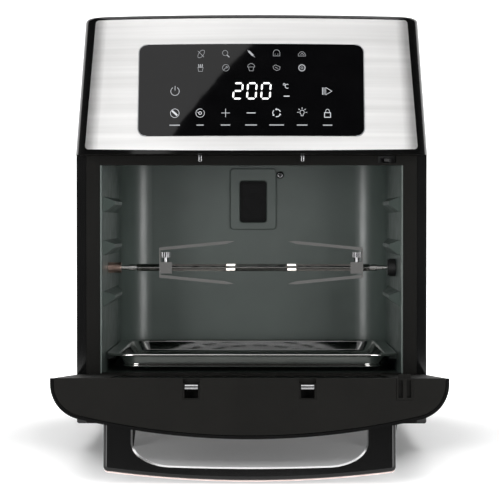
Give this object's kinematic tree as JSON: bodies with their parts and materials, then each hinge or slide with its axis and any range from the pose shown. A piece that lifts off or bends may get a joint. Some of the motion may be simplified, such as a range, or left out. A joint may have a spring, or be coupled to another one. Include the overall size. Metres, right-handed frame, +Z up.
{
  "type": "air fryer oven",
  "caption": "Countertop air fryer oven with a bowed steel control head, touch panel, drop-down door with bow handle, rotisserie spit and drip tray.",
  "frame": {"origin": "centre of the footprint of the oven with its door open, on the worktop", "axes": "+X to the right seen from the front, +Y from the open door towards the rear cover, +Z up"},
  "size_m": [0.31, 0.4956, 0.385],
  "materials": {
    "black_gloss": "gloss",
    "charcoal": "matte",
    "fascia_steel": "brushed",
    "touch_panel": "gloss",
    "window_glass": "clear",
    "enamel": "satin",
    "polished_steel": "polished",
    "chrome": "polished",
    "bronze": "satin",
    "rubber": "matte",
    "black_metal": "satin",
    "zinc": "satin",
    "heater": "matte",
    "dark_nylon": "satin",
    "board": "satin"
  },
  "bodies": {
    "casing": {"side_panel_left": "black_gloss", "side_panel_right": "black_gloss", "head_cover": "black_gloss", "front_frame": "charcoal", "head_base": "charcoal", "steel_fascia": "fascia_steel", "touch_glass": "touch_panel", "lamp_lens": "window_glass", "lamp_bulb": "window_glass", "cavity_liner": "enamel", "cavity_floor": "enamel", "cavity_ceiling": "enamel", "lamp_cover": "enamel", "striker_left": "chrome", "striker_right": "chrome", "lamp_screw": "chrome", "rear_screws": "chrome", "hinge_pin_left": "chrome", "hinge_pin_right": "chrome", "spit_bush": "bronze", "foot_front_left": "rubber", "foot_front_right": "rubber", "foot_rear_left": "rubber", "foot_rear_right": "rubber", "cord_gland": "rubber", "base_pan": "black_metal", "rear_cover": "black_metal", "motor_bracket": "zinc", "fan_motor": "zinc", "rotisserie_motor": "zinc", "heater_guard": "zinc", "transformer": "zinc", "heating_element": "heater", "lamp_holder": "dark_nylon", "switch_body": "dark_nylon", "led_display": "dark_nylon", "display_board": "board", "power_board": "board"},
    "door": {"door_frame": "charcoal", "door_skin": "black_gloss", "door_window": "window_glass", "inner_glass": "window_glass", "door_handle": "black_gloss", "handle_trim": "chrome", "catch_case_left": "charcoal", "catch_case_right": "charcoal", "switch_tab": "charcoal"},
    "catch_left": {"catch_roller_left": "chrome"},
    "catch_right": {"catch_roller_right": "chrome"},
    "spit": {"spit_rod": "polished_steel", "drive_socket": "dark_nylon"},
    "fork_a": {"fork_left": "polished_steel"},
    "fork_b": {"fork_right": "polished_steel"},
    "screw_a": {"thumbscrew_left": "chrome"},
    "screw_b": {"thumbscrew_right": "chrome"},
    "tray": {"drip_tray": "polished_steel"},
    "fan": {"fan_shaft": "chrome", "fan_blade": "zinc", "cooling_fan": "dark_nylon"},
    "plunger": {"switch_plunger": "dark_nylon"}
  },
  "joints": [
    {"name": "door_hinge", "type": "hinge", "parent": "casing", "child": "door", "pos_m": [0, -0.0488, 0.0645], "axis": [-1, 0, 0], "range_deg": [0, 85.9]},
    {"name": "catch_press_left", "type": "slide", "parent": "door", "child": "catch_left", "axis": [0, 0.9974, -0.0715], "range_m": [0, 0.004], "stiffness_N_per_m": 400},
    {"name": "catch_press_right", "type": "slide", "parent": "door", "child": "catch_right", "axis": [0, 0.9974, -0.0715], "range_m": [0, 0.004], "stiffness_N_per_m": 400},
    {"name": "spit_turn", "type": "hinge", "parent": "casing", "child": "spit", "pos_m": [0, 0.0283, 0.1614], "axis": [1, 0, 0], "continuous": true},
    {"name": "fork_slide_left", "type": "slide", "parent": "spit", "child": "fork_a", "axis": [1, 0, 0], "range_m": [-0.018, 0.015]},
    {"name": "fork_slide_right", "type": "slide", "parent": "spit", "child": "fork_b", "axis": [-1, 0, 0], "range_m": [-0.006, 0.015]},
    {"name": "thumbscrew_turn_left", "type": "hinge", "parent": "fork_a", "child": "screw_a", "pos_m": [-0.08, 0.0283, 0.1732], "axis": [0, 0, 1], "range_deg": [0, 360]},
    {"name": "thumbscrew_turn_right", "type": "hinge", "parent": "fork_b", "child": "screw_b", "pos_m": [0.0969, 0.0283, 0.1732], "axis": [0, 0, 1], "range_deg": [0, 360]},
    {"name": "tray_slide", "type": "slide", "parent": "casing", "child": "tray", "axis": [0, 0.9903, -0.1392], "range_m": [-0.16, 0]},
    {"name": "fan_spin", "type": "hinge", "parent": "casing", "child": "fan", "pos_m": [0, 0.0713, 0.32], "axis": [0, 0, 1], "continuous": true},
    {"name": "door_switch_press", "type": "slide", "parent": "casing", "child": "plunger", "axis": [0, 1, 0], "range_m": [0, 0.003], "stiffness_N_per_m": 200}
  ]
}
